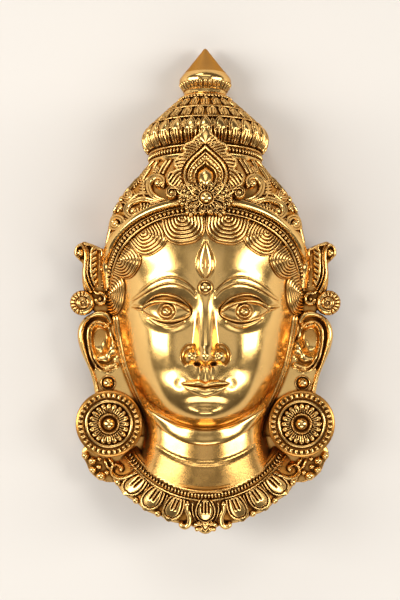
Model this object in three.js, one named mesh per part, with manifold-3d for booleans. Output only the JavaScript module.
// Hollow cast brass mask of a crowned face, lying face up on the flat rim of its open back.
// Millimetres. +X is to the right of the face as it is seen, +Y up the face, +Z out of it.
// The origin is at the middle of the mask's height and width, on the plane of the back rim.

import * as THREE from "three";
import { mergeVertices } from "three/addons/utils/BufferGeometryUtils.js";
import Module from "manifold-3d";

const wasm = await Module();
wasm.setup();

// Driving sizes
const HEIGHT = 228.6; // nine inches from the collar's tip to the finial's tip
const TIP_Y = HEIGHT / 2;
const WALL = 3.8; // thickness of the casting
const SIDE = 12; // height of the upright side walls above the back rim
const EDGE_SHARE = 0.97; // of the half width, where the head's sides turn upright
const ROOT = 2.6; // times its rise that a raised rod reaches down into the casting
const MERGE_MM = 1e-4;

// Face: an egg whose widest line is at CHEEK_Y
const CHEEK_Y = 0;
const CHIN_Y = -66.5;
const CHEEK_HALF_WIDTH = 41;
const HAIRLINE_Y = 30;
const BROW_Y = HAIRLINE_Y + (CHIN_Y - HAIRLINE_Y) / 3;
const NOSE_Y = HAIRLINE_Y + ((CHIN_Y - HAIRLINE_Y) * 2) / 3;
const EYE_Y = BROW_Y - 9;
const EYE_X = 17.5;
const EYE_HALF_LENGTH = 11;
const MOUTH_Y = NOSE_Y - 10.5;
const MOUTH_HALF_WIDTH = 11.4;

// Headband: an arch over the face, a superellipse with its feet at BAND_Y
const BAND_Y = 0;
const BAND_HALF_WIDTH = 47;
const BAND_RISE = 38.5;
const BAND_POWER = 2.2;
const CAP_STEP = 2.2; // how far the cap stands proud of the skin

// Crown: rings turned about an axis that leans back
const CROWN_Y = 60.8;
const CROWN_Z = 14;
const CROWN_LEAN = THREE.MathUtils.degToRad(8);
const CROWN_SEGMENTS = 32;
const FINIAL_H = (TIP_Y - CROWN_Y) / Math.cos(CROWN_LEAN);

// Collar: a sector of a ring that slopes back from the neck
const COLLAR_Y = -50.9;
const COLLAR_INNER = 44.5;
const COLLAR_OUTER = 60;
const COLLAR_SPREAD = THREE.MathUtils.degToRad(54);
const COLLAR_THICK = 3.6;
const COLLAR_COLUMNS = 42;
const MIDDLE_PETAL = 9; // degrees from the middle petal's centre to its edge
const SIDE_PETAL = 12.2; // degrees across a side petal

// Ears and their discs, on the right side; the left side is the mirror image
const DISC_X = 45.2;
const DISC_Y = -63.6;
const DISC_Z = 19;
const DISC_R = 15.7;
const DISC_TEETH = 11;

const { clamp, lerp } = THREE.MathUtils;
const point = (x, y, z = 0) => new THREE.Vector3(x, y, z);
const bump = (d, width) => Math.exp(-((d / width) ** 2));
const mound = (d) => Math.max(1 - d ** 2, 0) ** 2;
const ease = (t) => THREE.MathUtils.smoothstep(t, 0, 1);
const FORWARDS = point(0, 0, 1);

// The greater of two heights, with the crease between them softened over about k.
const softMax = (a, b, k) => (a + b + Math.hypot(a - b, k)) / 2;

// A smooth function through [at, value] pairs in rising order.
function curveThrough(pairs) {
  const last = pairs.length - 1;
  const slopes = pairs.map((_, i) => {
    const [a, b] = [pairs[Math.max(i - 1, 0)], pairs[Math.min(i + 1, last)]];
    return (b[1] - a[1]) / (b[0] - a[0]);
  });
  return (at) => {
    const x = clamp(at, pairs[0][0], pairs[last][0]);
    const next = pairs.findIndex(([start]) => start > x);
    const i = next < 0 ? last : Math.max(next, 1);
    const [[x0, y0], [x1, y1]] = [pairs[i - 1], pairs[i]];
    const [h, t] = [x1 - x0, (x - x0) / (x1 - x0)];
    const [m0, m1] = [slopes[i - 1] * h, slopes[i] * h];
    return (
      (2 * t ** 3 - 3 * t ** 2 + 1) * y0 +
      (t ** 3 - 2 * t ** 2 + t) * m0 +
      (3 * t ** 2 - 2 * t ** 3) * y1 +
      (t ** 3 - t ** 2) * m1
    );
  };
}

// Half width of the head shell, from the collar up to the crown.
const shellHalfWidth = curveThrough([
  [-96, 37],
  [-84, 33],
  [-74, 29.5],
  [-66, 28.6],
  [-58, 31],
  [-48, 36],
  [-34, 40.5],
  [-16, 44],
  [0, 46],
  [16, 47.3],
  [24, 46.8],
  [34.5, 43.6],
  [42.5, 39],
  [49, 33.6],
  [58, 27],
  [66, 24],
]);

// Depth of the neck, the sides and the cap in front of the side walls.
const shellDepth = curveThrough([
  [-96, 30.5],
  [-84, 28],
  [-74, 26.5],
  [-58, 25],
  [-40, 25],
  [-20, 27],
  [0, 31],
  [20, 36],
  [34.5, 38],
  [42.5, 37],
  [49, 33.5],
  [58, 26.2],
  [66, 20],
]);

// Depth of the skin along the middle of the face, without the features.
const faceDepth = curveThrough([
  [-66.5, 40.5],
  [-55, 41],
  [-45, 40.5],
  [-30, 40],
  [-15, 40.5],
  [0, 41.5],
  [15, 41],
  [30, 38.8],
  [42, 36.5],
  [66, 20],
]);

// Half width of the face: an egg below the cheeks, and the shell's own width by the temples.
function faceHalfWidth(y) {
  if (y >= CHEEK_Y) {
    return lerp(CHEEK_HALF_WIDTH, shellHalfWidth(y), ease((y - CHEEK_Y) / 20));
  }
  const down = clamp((CHEEK_Y - y) / (CHEEK_Y - CHIN_Y), 0, 1);
  return CHEEK_HALF_WIDTH * Math.sqrt(1 - down ** 2.8);
}

function skullHeight(x, y) {
  const across = Math.min(Math.abs(x) / Math.max(faceHalfWidth(y), 0.01), 1);
  const down = clamp((CHEEK_Y - y) / (CHEEK_Y - CHIN_Y), 0, 1);
  const rounding = Math.sqrt((1 - across ** 2.3) * (1 - down ** 14));
  return SIDE + faceDepth(y) * rounding;
}

function shellHeight(x, y) {
  const across = Math.min(Math.abs(x) / shellHalfWidth(y), 1);
  return SIDE + shellDepth(y) * Math.sqrt(1 - across ** 2);
}

// 1 on the headband's arch, less inside it, more outside.
function archLevel(x, y) {
  const [a, b] = [Math.abs(x) / BAND_HALF_WIDTH, Math.max(y - BAND_Y, 0) / BAND_RISE];
  return (a ** BAND_POWER + b ** BAND_POWER) ** (1 / BAND_POWER);
}

const capHeight = (x, y) => CAP_STEP * ease((archLevel(x, y) - 0.97) * 25);

// Nose, cheeks, sockets, muzzle and chin as heights above the skin.
function featureHeight(x, y) {
  const side = Math.abs(x);
  const along = clamp((BROW_Y - 3 - y) / (BROW_Y - 3 - (NOSE_Y + 4)), 0, 1);
  const under = ease((y - (NOSE_Y - 1.5)) / 3.5);
  const bridge = (0.6 + 9.6 * along ** 1.4) * ease((BROW_Y + 6 - y) / 8);
  const ridge = bridge * bump(x, 2.9 + 2.3 * along ** 2) * under;
  const wings = 5.2 * bump(side - 6.2, 3) * bump(y - NOSE_Y - 2.6, 3.4) * under;
  const cheeks = 3.2 * mound(Math.hypot((side - 22) / 19, (y - NOSE_Y - 5) / 25));
  const jaw = 2.6 * mound(Math.hypot((side - 18.5) / 15.5, (y - MOUTH_Y + 6.5) / 15));
  const sockets = -2.6 * bump(side - EYE_X + 2, 10) * bump(y - EYE_Y - 2, 7);
  const muzzle = 3 * mound(Math.hypot(x / 19, (y - MOUTH_Y) / 15));
  const crease = -1.5 * mound(Math.hypot(x / 13, (y - MOUTH_Y + 8.2) / 4.2));
  const chin = 3.6 * mound(Math.hypot(x / 17, (y - MOUTH_Y + 14.4) / 10.5));
  return ridge + wings + cheeks + jaw + sockets + muzzle + crease + chin;
}

// Height of the bare casting, and of the same with its modelled face.
const formHeight = (x, y) => softMax(skullHeight(x, y), shellHeight(x, y), 2.5);
const headHeight = (x, y) => formHeight(x, y) + capHeight(x, y) + featureHeight(x, y);
const onHead = (x, y, lift = 0) => point(x, y, headHeight(x, y) + lift);

// The direction straight out of the bare casting; past its edge, that of the edge.
function outOfHead({ x, y }) {
  const [edge, step] = [EDGE_SHARE * shellHalfWidth(y), 0.5];
  const at = clamp(x, -edge, edge);
  const slopeX = (formHeight(at + step, y) - formHeight(at - step, y)) / (2 * step);
  const slopeY = (formHeight(at, y + step) - formHeight(at, y - step)) / (2 * step);
  return point(-slopeX, -slopeY, 1).normalize();
}

// A closed mesh of merged vertices as a solid for joining and cutting.
function solidFrom(geometry) {
  return new wasm.Manifold(
    new wasm.Mesh({
      numProp: 3,
      vertProperties: geometry.getAttribute("position").array,
      triVerts: new Uint32Array(geometry.index.array),
    }),
  );
}

function solidOf(geometry) {
  const bare = geometry.clone();
  bare.deleteAttribute("normal");
  bare.deleteAttribute("uv");
  return solidFrom(mergeVertices(bare, MERGE_MM));
}

function geometryOf(solid) {
  const { numProp, numVert, vertProperties, triVerts } = solid.getMesh();
  const position = new Float32Array(numVert * 3);
  for (let i = 0; i < numVert; i++) {
    position.set(vertProperties.subarray(i * numProp, i * numProp + 3), i * 3);
  }
  const geometry = new THREE.BufferGeometry();
  geometry.setAttribute("position", new THREE.BufferAttribute(position, 3));
  geometry.setIndex(new THREE.BufferAttribute(triVerts, 1));
  return geometry;
}

// The geometry with every vertex moved by place(vertex).
function reshaped(geometry, place) {
  const position = geometry.getAttribute("position");
  const v = new THREE.Vector3();
  for (let i = 0; i < position.count; i++) {
    position.setXYZ(i, ...place(v.fromBufferAttribute(position, i)));
  }
  return geometry;
}

const joined = (solids) => solids.reduce((whole, next) => whole.add(next));

// A solid made for the right of the face, with the same on the left.
function bothSides(solid) {
  const other = geometryOf(solid).scale(-1, 1, 1);
  const corners = other.index.array;
  for (let i = 0; i < corners.length; i += 3) {
    [corners[i], corners[i + 1]] = [corners[i + 1], corners[i]];
  }
  return solid.add(solidFrom(other));
}

// A rod along points: width and rise are half sizes at a share t of the way, and facing is the
// direction that it rises in at a point.
function rod(points, width, rise, { sides = 3, steps = 10, facing = () => FORWARDS } = {}) {
  const path = new THREE.CatmullRomCurve3(points, false, "centripetal");
  const across = new THREE.Vector3();
  const up = new THREE.Vector3();
  const place = (v) => {
    const t = v.y + 0.5;
    const centre = path.getPoint(t);
    const along = path.getTangent(t);
    across.crossVectors(along, facing(centre)).normalize();
    up.crossVectors(across, along);
    const height = v.z * rise(t) * (v.z < 0 ? ROOT : 1);
    return centre.addScaledVector(across, v.x * width(t)).addScaledVector(up, height);
  };
  return solidOf(reshaped(new THREE.CylinderGeometry(1, 1, 1, sides, steps), place));
}

// A rod that lies along the head's surface.
const rodOnHead = (points, width, rise, options) =>
  rod(points, width, rise, { ...options, facing: outOfHead });

// A smooth lobe: a ball stretched to half sizes a, b and c, turned in its plane, facing a direction.
function lobe(centre, [a, b, c], turn = 0, detail = [6, 4], facing = FORWARDS) {
  const ball = new THREE.SphereGeometry(1, ...detail).rotateX(Math.PI / 2).scale(a, b, c);
  const lean = new THREE.Quaternion().setFromUnitVectors(FORWARDS, facing);
  return solidOf(ball.rotateZ(turn).applyQuaternion(lean).translate(...centre));
}

// A lobe that lies on the head's surface, its centre a lift above it.
function lobeOnHead(x, y, lift, size, turn, detail) {
  const out = outOfHead({ x, y });
  return lobe(onHead(x, y).addScaledVector(out, lift), size, turn, detail, out);
}

// A block whose plan is mapped by plan(u, v) and whose top and bottom are heights over it.
function block(columns, rows, plan, top, bottom) {
  const box = new THREE.BoxGeometry(2, 1, 1, columns, rows, 1);
  const place = (v) => {
    const [x, y] = plan(v.x, v.y + 0.5);
    return [x, y, v.z > 0 ? top(x, y, v.x) : bottom(x, y)];
  };
  return solidOf(reshaped(box, place));
}

// Rows of the head's grid lie closest over the nose and mouth.
const headRow = curveThrough([
  [0, -97],
  [0.12, -72],
  [0.2, -62],
  [0.52, -28],
  [0.72, 0],
  [1, 66],
]);

// Columns of the grid lie closest along the middle of the face.
function headPlan(u, v) {
  const y = headRow(v);
  const spread = u * (0.3 + 0.7 * u * u);
  return [shellHalfWidth(y) * Math.sin((spread * Math.PI) / 2), y];
}

// The head's surface, held under the collar where the collar covers it.
function headTop(x, y) {
  const [angle, radius] = collarPolar(x, y);
  const covered = y < COLLAR_Y && radius > COLLAR_INNER - 0.5;
  const height = headHeight(x, y);
  return covered ? Math.min(height, collarHeight(angle, radius) - COLLAR_THICK / 2) : height;
}

const head = () => block(16, 27, headPlan, headTop, () => -1);

// The hollow behind the head, open at the back and below the collar.
function headHollow() {
  const innerHalfWidth = (y) => shellHalfWidth(y) - WALL;
  const plan = (u, v) => {
    const y = lerp(-98, 56, v);
    return [innerHalfWidth(y) * Math.sin((u * Math.PI) / 2), y];
  };
  const ceiling = (x, y) => {
    const [angle, radius] = collarPolar(x, y);
    const outer = formHeight((x * shellHalfWidth(y)) / innerHalfWidth(y), y);
    const neck = y < CHIN_Y + 8 ? shellHeight(x * 1.1, y) : Infinity;
    const collar = y < COLLAR_Y && radius > 38 ? collarHeight(angle, radius) : Infinity;
    return Math.max(Math.min(outer, neck, collar) - WALL - 1, SIDE);
  };
  return block(8, 14, plan, ceiling, () => -2);
}

// Radius of the crown at each height along its axis, from under the bead ring to the tip.
function crownProfile() {
  return [
    [0, -9],
    [24.5, -9],
    [27.2, -1.4],
    [27.2, 1.4],
    [25.8, 2.8],
    [29.2, 5.8],
    [30, 9.4],
    [27.3, 14.2],
    [19, 22],
    [12.3, 27.8],
    [12.2, 30],
    [10, 31],
    [10.2, 32.6],
    [12.3, 35.4],
    [5, 48.8],
    [0, FINIAL_H],
  ].map(([radius, height]) => new THREE.Vector2(radius, height));
}

// Depth of the petal flutes between two heights, alternate segments standing out.
function fluteDepth(height) {
  if (height > 4 && height < 14) return 0.7;
  if (height > 16 && height < 26) return 0.45;
  return height > 33 && height < 37 ? 0.25 : 0;
}

function placeCrown(geometry) {
  return geometry.rotateX(-CROWN_LEAN).translate(0, CROWN_Y, CROWN_Z);
}

function crown() {
  const lathe = new THREE.LatheGeometry(crownProfile(), CROWN_SEGMENTS);
  const flute = (v) => {
    const radius = Math.hypot(v.x, v.z);
    if (radius < 1.5) return v;
    const turn = Math.atan2(v.x, v.z);
    const out = 1 + (fluteDepth(v.y) * Math.cos((turn * CROWN_SEGMENTS) / 2)) / radius;
    return v.set(v.x * out, v.y, v.z * out);
  };
  return solidOf(placeCrown(reshaped(lathe, flute)));
}

function crownHollow() {
  const profile = [
    [0, -14],
    [22, -14],
    [22, 0],
    [23.5, 8],
    [21, 13],
    [13, 19],
    [0, 21],
  ].map(([radius, height]) => new THREE.Vector2(radius, height));
  return solidOf(placeCrown(new THREE.LatheGeometry(profile, 12)));
}

// A point of the headband's arch, grown or shrunk by out, at an angle from the top.
function archPoint(angle, out = 0, lift = 0) {
  const power = 2 / BAND_POWER;
  const x = Math.sign(angle) * (BAND_HALF_WIDTH + out) * Math.abs(Math.sin(angle)) ** power;
  const y = BAND_Y + (BAND_RISE + out) * Math.max(Math.cos(angle), 0) ** power;
  const inside = shellHalfWidth(y) - 0.8;
  const held = clamp(x, -inside, inside);
  return onHead(held, y, lift);
}

function archPoints(out, lift, count) {
  return Array.from({ length: count + 1 }, (_, i) =>
    archPoint(lerp(-Math.PI / 2, Math.PI / 2, i / count), out, lift),
  );
}

// The headband, with the string of beads along its lower edge.
function headband() {
  return rodOnHead(archPoints(-0.9, 0, 24), () => 3.3, () => 1.9, { steps: 14, sides: 6 });
}

// Locks of hair that hang in scallops under the headband, as [angle, half length, drop].
const LOCKS = [
  [0.24, 10.5, 7.6],
  [0.66, 9.6, 7],
  [1.06, 9, 6],
  [1.42, 7.5, 4.5],
];

function hairLocks() {
  const lock = ([angle, length, drop]) => {
    const [at, next] = [archPoint(angle, -4), archPoint(angle + 0.05, -4)];
    const turn = Math.atan2(next.y - at.y, next.x - at.x);
    return lobeOnHead(at.x, at.y, -0.4, [length, drop, 2.6], turn, [7, 3]);
  };
  return bothSides(joined(LOCKS.map(lock)));
}

// Front surface of the crest: a leaning, slightly rolled sheet.
const crestHeight = (x, y) => 57.2 - 0.363 * (y - 42) - (x * x) / 95;

// Half width of the crest at a share t from foot to tip, with flame lobes along its edge.
function crestHalfWidth(t) {
  const body = 18.4 * Math.sin(Math.PI * Math.min(0.22 + 0.78 * t, 1)) ** 0.8 * (1 - t ** 3) ** 0.5;
  return Math.max(body * (1 + 0.06 * Math.cos(t * Math.PI * 2 * 4)), 0.5);
}

// The crest: a bud within a pointed border within a leaf, all raised on one sheet.
function crest() {
  const [foot, tip, borderTip] = [40.5, 73.8, 66.5];
  const borderShare = (y) => 0.6 * clamp((borderTip - y) / 11, 0.02, 1) ** 0.7;
  const plan = (u, v) => {
    const y = lerp(foot, tip, v);
    const [side, border] = [Math.abs(u), borderShare(y)];
    const share = side < 0.5 ? side * 2 * border : lerp(border, 1, side * 2 - 1);
    return [Math.sign(u) * share * crestHalfWidth(v), y];
  };
  const top = (x, y, u) => {
    const bud = 2.4 * bump(u, 0.15) * bump(y - 51.5, 6);
    const border = 2.4 * bump(Math.abs(u) - 0.5, 0.1) * ease((borderTip + 1 - y) / 4);
    return crestHeight(x, y) - 1.4 + bud + border;
  };
  return block(8, 13, plan, top, (x, y) => crestHeight(x, y) - 10);
}

// The flower at the crest's foot, with a floret on either side.
function crestFlower() {
  const [y, petals, reach] = [41, 10, 7.8];
  const profile = [
    [0, -3],
    [reach, -1],
    [reach * 0.8, 1],
    [3, 0.2],
    [2.6, 2.4],
    [0, 3.4],
  ].map(([radius, height]) => new THREE.Vector2(radius, height));
  const petal = (v) => {
    const radius = Math.hypot(v.x, v.z);
    const open = radius > 4 ? 0.86 + 0.14 * Math.cos(Math.atan2(v.x, v.z) * petals) : 1;
    return [v.x * open, v.y, v.z * open];
  };
  const flower = reshaped(new THREE.LatheGeometry(profile, petals * 2), petal).rotateX(Math.PI / 2);
  const z = crestHeight(0, y) + 0.2;
  const floret = lobe(point(10.2, 39.6, z - 2), [2.8, 3, 2]);
  return bothSides(floret).add(solidOf(flower.translate(0, y, z)));
}

// A scroll on the head: a stem through the given points that winds about an eye into a ball.
function scroll(stem, eye, { turns = 0.7, start, size, hand = 1, thick = 1.5, steps = 8 }) {
  const coil = Array.from({ length: 7 }, (_, i) => {
    const t = i / 6;
    const angle = start + hand * t * turns * Math.PI * 2;
    const reach = size * (1 - 0.6 * t);
    return [eye[0] + Math.cos(angle) * reach, eye[1] + Math.sin(angle) * reach];
  });
  const points = [...stem, ...coil].map(([x, y]) => onHead(x, y));
  const width = (t) => thick * (0.35 + 0.65 * Math.sin(Math.min(t * 2.2, 1) * 1.57));
  const winding = rodOnHead(points, width, (t) => width(t) * 0.9, { steps });
  const ball = size * 0.54;
  return winding.add(lobeOnHead(...eye, 0.2, [ball, ball, ball], 0, [5, 3]));
}

// A rib of the cap that runs up from the scrolls to the crown.
function rib(foot, head) {
  const bend = [lerp(foot[0], head[0], 0.4), lerp(foot[1], head[1], 0.55)];
  const points = [foot, bend, head].map(([x, y]) => onHead(x, y));
  return rodOnHead(points, () => 1.1, () => 1.1, { steps: 2 });
}

// Scrolls and ribs of the cap, from the flower out to the temples.
function capScrolls() {
  const great = scroll([[16, 38.6], [23, 39.4], [27.6, 42.4]], [22.8, 47.6], { start: -0.2, size: 5 });
  const middle = scroll([[22, 37.6], [28.5, 38.6], [34.5, 38.6]], [32.6, 35], {
    start: 0.7,
    size: 3.6,
    hand: -1,
    steps: 7,
  });
  const outer = rib([39, 24], [33, 43]);
  const small = lobeOnHead(14.5, 42.8, 1.4, [2.8, 2.8, 2.4], 0, [5, 3]);
  return bothSides(joined([great, middle, outer, small]));
}

// Eyeball, lids and brow of the right eye.
function eye() {
  const outline = (share, rise) => {
    const arch = rise * Math.max(1 - share * share, 0) ** 0.8;
    return [EYE_X + share * EYE_HALF_LENGTH, EYE_Y + arch + 1.2 * Math.max(share, -0.2)];
  };
  const lid = (rise, size, end) => {
    const points = Array.from({ length: 9 }, (_, i) => onHead(...outline(lerp(-1, end, i / 8), rise), 0.9));
    const taper = (t) => size * (0.3 + 0.7 * Math.sin(Math.PI * clamp(t, 0.02, 0.98)));
    return rodOnHead(points, taper, taper, { steps: 7 });
  };
  const ball = lobeOnHead(EYE_X, EYE_Y + 0.6, -0.4, [9.6, 4.7, 3], 0.05, [8, 3]);
  const iris = lobeOnHead(EYE_X, EYE_Y + 0.9, 2, [2.9, 2.9, 1.2], 0, [6, 3]);
  return joined([lid(5, 1.5, 1.35), lid(-3.4, 1, 1), ball, iris]);
}

function brow() {
  const points = Array.from({ length: 9 }, (_, i) => {
    const t = i / 8;
    const arch = 8.2 * Math.sin(Math.PI * t ** 0.82) - 2.2 * t;
    return onHead(lerp(EYE_X - 13.4, EYE_X + 16.5, t), BROW_Y - 1.5 + arch, 0.1);
  });
  const width = (t) => 0.5 + 1.5 * Math.sin(Math.PI * clamp(t, 0.01, 0.99)) ** 0.7;
  return rodOnHead(points, width, (t) => 0.6 * width(t), { steps: 8 });
}

function mouth() {
  const lower = lobe(onHead(0, MOUTH_Y - 2.2, -0.4), [MOUTH_HALF_WIDTH * 0.76, 2.7, 3], 0, [8, 4]);
  const bow = onHead(MOUTH_HALF_WIDTH * 0.4, MOUTH_Y + 1.6, -0.6);
  const upper = lobe(bow, [MOUTH_HALF_WIDTH * 0.6, 1.9, 2.6], -0.16, [7, 4]);
  return lower.add(bothSides(upper));
}

// Flame mark and round mark on the forehead.
function foreheadMarks() {
  const flame = [5.5, 9, 12.5, 16, 20].map((y) => onHead(0, y, 0.1));
  const width = (t) => 0.3 + 2.6 * Math.sin(Math.PI * clamp(t, 0.01, 0.99) ** 0.75) ** 1.2;
  const mark = rod(flame, width, (t) => 0.4 * width(t) + 0.3, { steps: 6 });
  return mark.add(lobe(onHead(0, 1.4, 0.2), [2.6, 2.6, 1.3], 0, [6, 4]));
}

// The soft roll of the neck under the jaw.
function neckRoll() {
  const reach = 29;
  const jaw = Array.from({ length: 11 }, (_, i) => {
    const x = lerp(-reach, reach, i / 10);
    const y = CHIN_Y - 2.4 + 13 * (x / reach) ** 2;
    return point(x, y, shellHeight(x, y) + 0.4);
  });
  const width = (t) => 1 + 2.2 * Math.sin(Math.PI * clamp(t, 0.02, 0.98));
  return rodOnHead(jaw, width, width, { steps: 9 });
}

// A plate whose outline runs from the inner edge, out through the points, and back to it.
function plate(inner, points, back, thick) {
  const outline = new THREE.Shape();
  outline.moveTo(inner, points[0][1]);
  outline.lineTo(...points[0]);
  outline.splineThru(points.slice(1).map(([x, y]) => new THREE.Vector2(x, y)));
  outline.lineTo(inner, points[points.length - 1][1]);
  const options = { depth: thick, curveSegments: 2, bevelEnabled: false };
  return solidOf(new THREE.ExtrudeGeometry(outline, options).translate(0, 0, back));
}

const at = (z) => ([x, y]) => point(x, y, z);

// Plates, rims and ridges of the ear and its ornaments, from the head outwards and down.
const EAR_BACK = 11.5;
const EAR_THICK = 5.5;
const EAR_FRONT = EAR_BACK + EAR_THICK;
const EAR_OUTLINE = [
  [43, -12.5],
  [50, -10.6],
  [57, -14],
  [60.2, -21.5],
  [58.6, -30],
  [54.7, -37],
  [52, -46],
  [50, -58],
];
const EAR_RIM = [
  [44.5, -20.5],
  [45.4, -15],
  [50.4, -12.6],
  [56, -15.6],
  [58.2, -22.6],
  [56.4, -30.4],
  [52.6, -37],
  [48, -38.6],
];
const EAR_RIDGE = [
  [49.4, -17.8],
  [53.2, -21.4],
  [53, -28.6],
  [49.6, -33.6],
  [45.8, -34.6],
];

// The ear plate, its rim, the ridge within the rim, the small fold before it and the lobe's stud.
function ear() {
  return joined([
    plate(36, EAR_OUTLINE, EAR_BACK, EAR_THICK),
    rod(EAR_RIM.map(at(EAR_FRONT + 0.6)), () => 1.9, () => 2.1, { steps: 9 }),
    rod(EAR_RIDGE.map(at(EAR_FRONT + 0.6)), () => 1.2, () => 1.3, { steps: 5 }),
    lobe(point(44.4, -26.5, EAR_FRONT + 0.5), [2.4, 4.2, 3], 0, [5, 3]),
    lobe(point(DISC_X, -44.4, EAR_FRONT + 0.6), [2.9, 2.9, 2.6]),
  ]);
}

// The round ear disc: a turned body with notches round its rim and ribs round its middle.
function disc() {
  const profile = [
    [0, -5],
    [13.5, -5],
    [DISC_R, 0],
    [DISC_R - 0.7, 2.6],
    [12, 2.8],
    [10.8, 4],
    [9.6, 2.6],
    [5, 3.2],
    [3.4, 5],
    [0, 6.4],
  ].map(([radius, height]) => new THREE.Vector2(radius, height));
  const notch = (v) => {
    const radius = Math.hypot(v.x, v.z);
    const wave = Math.cos(Math.atan2(v.x, v.z) * DISC_TEETH);
    const notched = v.y > 0 && (radius > 12.2 || (radius > 4.5 && radius < 9.8));
    return [v.x, v.y + (notched ? 0.5 * wave : 0), v.z];
  };
  const body = reshaped(new THREE.LatheGeometry(profile, DISC_TEETH * 2), notch).rotateX(Math.PI / 2);
  const bracket = new THREE.BoxGeometry(22, 31, 5).translate(34, DISC_Y + 4.5, 10.5);
  return solidOf(body.translate(DISC_X, DISC_Y, DISC_Z)).add(solidOf(bracket));
}

const LEAF_OUTLINE = [
  [43.5, 20],
  [50, 19.2],
  [58.4, 22],
  [61.5, 17],
  [58.2, 11.7],
  [58.4, 5],
  [57, -3],
];
const LEAF_EDGE = [
  [52.2, -2],
  [56, 3],
  [56, 11],
  [56.2, 17.4],
  [59, 19.4],
];

// The upright leaf above the ear with its curled top, a small volute and a round rosette.
function earTopOrnament() {
  const front = EAR_FRONT + 0.4;
  const veins = [2, 9].map((y) => lobe(point(51.4, y, front - 0.4), [3.4, 1.6, 1.5], 0.6, [5, 3]));
  const rosette = new THREE.CylinderGeometry(5, 5.9, 5, 12).rotateX(Math.PI / 2);
  return joined([
    plate(43, LEAF_OUTLINE, front - 5.4, 5),
    rod(LEAF_EDGE.map(at(front + 0.4)), () => 1.3, () => 1.4, { steps: 6 }),
    lobe(point(59, 16.6, front), [2.2, 2.2, 2.4], 0, [6, 3]),
    lobe(point(49.8, -4.4, front + 0.2), [2.9, 2.9, 2.8]),
    solidOf(rosette.translate(57.4, -7, front - 2.4)),
    lobe(point(56.9, -7.2, front + 0.1), [2.6, 2.6, 2.2], 0, [6, 3]),
    ...veins,
  ]);
}

// Height of the collar's face at an angle from straight down and a radius.
function collarHeight(angle, radius) {
  const inner = 14.4 + 27 * Math.cos(Math.min(Math.abs(angle) * 1.62, Math.PI / 2));
  return inner - 0.35 * (radius - COLLAR_INNER);
}

// The angle from straight down and the radius of a place on the collar.
function collarPolar(x, y) {
  return [Math.atan2(x, COLLAR_Y - y), Math.hypot(x, COLLAR_Y - y)];
}

function onCollar(angle, radius, lift = 0) {
  const [x, y] = [radius * Math.sin(angle), COLLAR_Y - radius * Math.cos(angle)];
  return point(x, y, collarHeight(angle, radius) + lift);
}

// How far into a petal an angle of the collar lies: 1 on its middle line, 0 between two petals.
function petalWave(angle) {
  const off = THREE.MathUtils.radToDeg(Math.abs(angle));
  if (off < MIDDLE_PETAL) return Math.cos(((off / MIDDLE_PETAL) * Math.PI) / 2) ** 0.5;
  return Math.abs(Math.sin(((off - MIDDLE_PETAL) / SIDE_PETAL) * Math.PI)) ** 0.5;
}

// The collar: a beaded ring round the neck, then petals; the middle petal ends in the lower tip.
function collar() {
  const middle = TIP_Y + COLLAR_Y - COLLAR_OUTER;
  const edge = (angle) => COLLAR_OUTER - 2.2 * (1 - petalWave(angle)) + middle * bump(angle, 0.075);
  const rings = [COLLAR_INNER - 3, COLLAR_INNER, COLLAR_INNER + 2, COLLAR_INNER + 8];
  const box = new THREE.BoxGeometry(2, 1, 1, COLLAR_COLUMNS, rings.length, 1);
  const place = (v) => {
    const angle = v.x * COLLAR_SPREAD;
    const row = Math.round((0.5 - v.y) * rings.length);
    const raised = [0, 2, 0, 3 * petalWave(angle), 2 * petalWave(angle)][row];
    return onCollar(angle, rings[row] ?? edge(angle), v.z > 0 ? raised : -COLLAR_THICK);
  };
  const knob = lobe(onCollar(0.86, 55.2, 0.8), [2.8, 2.6, 2]);
  return solidOf(reshaped(box, place)).add(bothSides(knob));
}

// Round drops under the ear disc, as [x, y, radius].
const DROPS = [
  [56.6, -78.9, 2],
  [53.2, -81.6, 2.2],
  [53, -86, 2.1],
  [49.2, -88.6, 2.5],
  [48.6, -83.6, 1.8],
];

const DROPS_OUTLINE = [
  [45, -70],
  [57, -74],
  [58.6, -79.4],
  [55.4, -86],
  [49.4, -91],
  [40, -91.4],
];

function drops() {
  const [back, thick] = [9.5, 5];
  const balls = DROPS.map(([x, y, r]) => lobe(point(x, y, back + thick), [r, r, r], 0, [5, 3]));
  return joined([plate(30, DROPS_OUTLINE, back, thick), ...balls]);
}

// The bar cast across the back of the crown, flush with the rim, to hang the mask by.
const BAR_Y = 48;
const BAR_HALF_LENGTH = 32.4;
const BAR_HALF_HEIGHT = 2;
const BAR_THICK = 4;

function hangingBar() {
  const bar = new THREE.BoxGeometry(BAR_HALF_LENGTH * 2, BAR_HALF_HEIGHT * 2, BAR_THICK);
  return solidOf(bar.translate(0, BAR_Y, BAR_THICK / 2));
}

function casting() {
  const outside = joined([
    head(),
    crown(),
    headband(),
    hairLocks(),
    capScrolls(),
    crest(),
    crestFlower(),
    bothSides(eye()),
    bothSides(brow()),
    mouth(),
    foreheadMarks(),
    neckRoll(),
    bothSides(ear()),
    bothSides(earTopOrnament()),
    bothSides(disc()),
    bothSides(drops()),
    collar(),
  ]);
  const below = new THREE.BoxGeometry(300, 400, 60).translate(0, 0, -30);
  const shell = outside.subtract(headHollow()).subtract(crownHollow()).subtract(solidOf(below));
  return shell.add(hangingBar());
}

function meshOf(name, solid, material) {
  const geometry = geometryOf(solid);
  geometry.computeVertexNormals();
  const mesh = new THREE.Mesh(geometry, material);
  mesh.name = name;
  return mesh;
}

const brass = new THREE.MeshStandardMaterial({
  color: new THREE.Color().setRGB(0.79, 0.56, 0.22),
  metalness: 1,
  roughness: 0.24,
});

const mask = new THREE.Group();
mask.add(meshOf("mask", casting(), brass));

export default mask;
